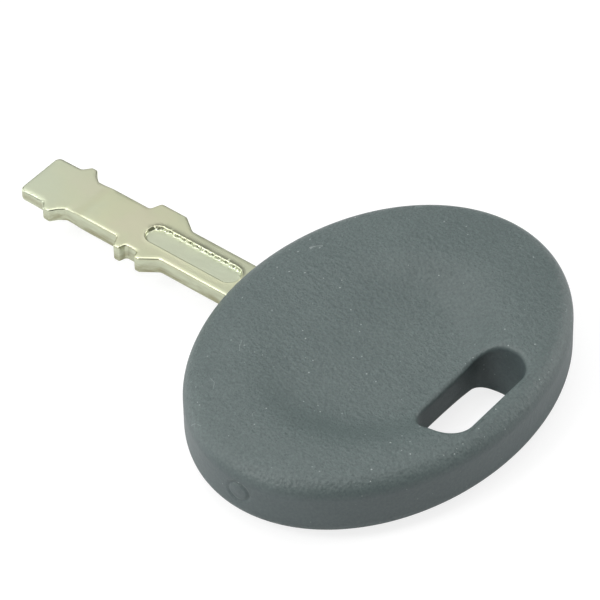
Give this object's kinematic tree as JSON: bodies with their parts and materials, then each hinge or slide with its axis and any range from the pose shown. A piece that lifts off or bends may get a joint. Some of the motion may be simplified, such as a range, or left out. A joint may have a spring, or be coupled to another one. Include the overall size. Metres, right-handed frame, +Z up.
{
  "type": "lawn mower ignition key",
  "caption": "Switch key with a flat stamped steel blade with side lugs and a coined groove, moulded into an oval dished plastic head with a key-ring slot.",
  "frame": {"origin": "under the middle of the key's whole outline, on the plane that the head lies on", "axes": "+X runs along the blade's axis from the tip towards the key-ring end of the head, +Y across the oval head, +Z up through the key's thickness"},
  "size_m": [0.0618, 0.0448, 0.0081],
  "materials": {
    "plated_steel": "satin bright nickel plate over stamped steel, slightly warm, with softer bright edges",
    "dark_plastic": "fine-grained satin slate-grey moulded plastic"
  },
  "bodies": {
    "root": {"blade": "plated_steel", "head": "dark_plastic"}
  },
  "joints": []
}
